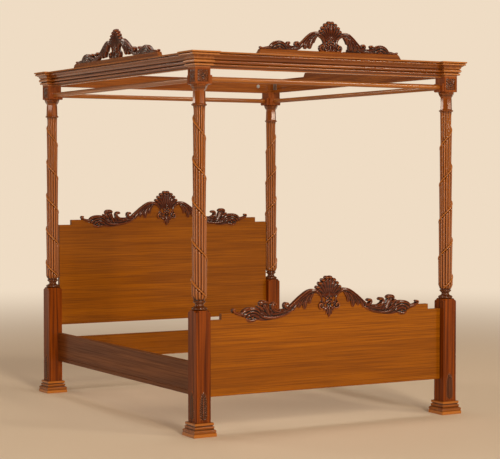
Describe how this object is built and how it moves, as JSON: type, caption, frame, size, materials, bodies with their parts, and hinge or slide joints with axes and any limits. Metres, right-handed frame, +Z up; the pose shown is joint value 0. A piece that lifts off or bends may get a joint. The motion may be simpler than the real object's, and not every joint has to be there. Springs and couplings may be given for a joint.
{
  "type": "four poster canopy bed",
  "caption": "Four poster canopy bed with square legs, reeded spiral columns, moulded cornice with carved crests, carved headboard and footboard, and side rails.",
  "frame": {"origin": "floor level, midway between the four posts", "axes": "+X to the right seen from the foot end, +Y from the footboard to the headboard, +Z up"},
  "size_m": [1.902, 2.282, 2.3695],
  "materials": {
    "post_wood": "satin lacquer on stained mahogany",
    "cornice_wood": "satin lacquer on stained mahogany",
    "board_wood": "satin lacquer on golden brown mahogany",
    "carved_wood": "dark stained, glazed in the hollows, satin lacquer",
    "pole_wood": "satin lacquer",
    "bare_wood": "bare sawn wood",
    "steel": "zinc plated",
    "plate_steel": "zinc plated sheet",
    "screw_brass": "yellow zinc"
  },
  "bodies": {
    "bed_frame": {"foot_left_plinth": "post_wood", "foot_left_leg": "post_wood", "foot_left_column": "post_wood", "foot_left_capital": "post_wood", "foot_left_cornice_corner": "cornice_wood", "foot_right_plinth": "post_wood", "foot_right_leg": "post_wood", "foot_right_column": "post_wood", "foot_right_capital": "post_wood", "foot_right_cornice_corner": "cornice_wood", "head_left_plinth": "post_wood", "head_left_leg": "post_wood", "head_left_column": "post_wood", "head_left_capital": "post_wood", "head_left_cornice_corner": "cornice_wood", "head_right_plinth": "post_wood", "head_right_leg": "post_wood", "head_right_column": "post_wood", "head_right_capital": "post_wood", "head_right_cornice_corner": "cornice_wood", "foot_cornice": "cornice_wood", "head_cornice": "cornice_wood", "left_cornice": "cornice_wood", "right_cornice": "cornice_wood", "foot_crest_strip": "carved_wood", "foot_crest": "carved_wood", "left_crest_strip": "carved_wood", "left_crest": "carved_wood", "right_crest_strip": "carved_wood", "right_crest": "carved_wood", "headboard_panel": "board_wood", "headboard_carving": "carved_wood", "head_lower_rail": "board_wood", "footboard_panel": "board_wood", "footboard_carving": "carved_wood", "left_side_rail": "board_wood", "right_side_rail": "board_wood", "left_ledger": "bare_wood", "right_ledger": "bare_wood", "leg_leaf_carvings": "carved_wood", "capital_carvings": "carved_wood", "pole_sockets": "post_wood", "rail_studs": "steel", "rail_nuts": "steel", "rail_washers": "steel", "rail_dowels": "bare_wood", "ledger_screws": "screw_brass", "column_studs": "steel", "canopy_dowels": "bare_wood", "cornice_dowels": "bare_wood", "crest_dowels": "bare_wood", "cornice_bolts": "steel", "cornice_plates": "plate_steel"},
    "foot_pole": {"foot_curtain_pole": "pole_wood"},
    "head_pole": {"head_curtain_pole": "pole_wood"},
    "left_pole": {"left_curtain_pole": "pole_wood"},
    "right_pole": {"right_curtain_pole": "pole_wood"}
  },
  "joints": [
    {"name": "foot_pole_turn", "type": "hinge", "parent": "bed_frame", "child": "foot_pole", "pos_m": [0, -1.05, 2.007], "axis": [1, 0, 0], "continuous": true},
    {"name": "head_pole_turn", "type": "hinge", "parent": "bed_frame", "child": "head_pole", "pos_m": [0, 1.05, 2.007], "axis": [1, 0, 0], "continuous": true},
    {"name": "left_pole_turn", "type": "hinge", "parent": "bed_frame", "child": "left_pole", "pos_m": [-0.86, 0, 2.007], "axis": [0, 1, 0], "continuous": true},
    {"name": "right_pole_turn", "type": "hinge", "parent": "bed_frame", "child": "right_pole", "pos_m": [0.86, 0, 2.007], "axis": [0, 1, 0], "continuous": true}
  ]
}
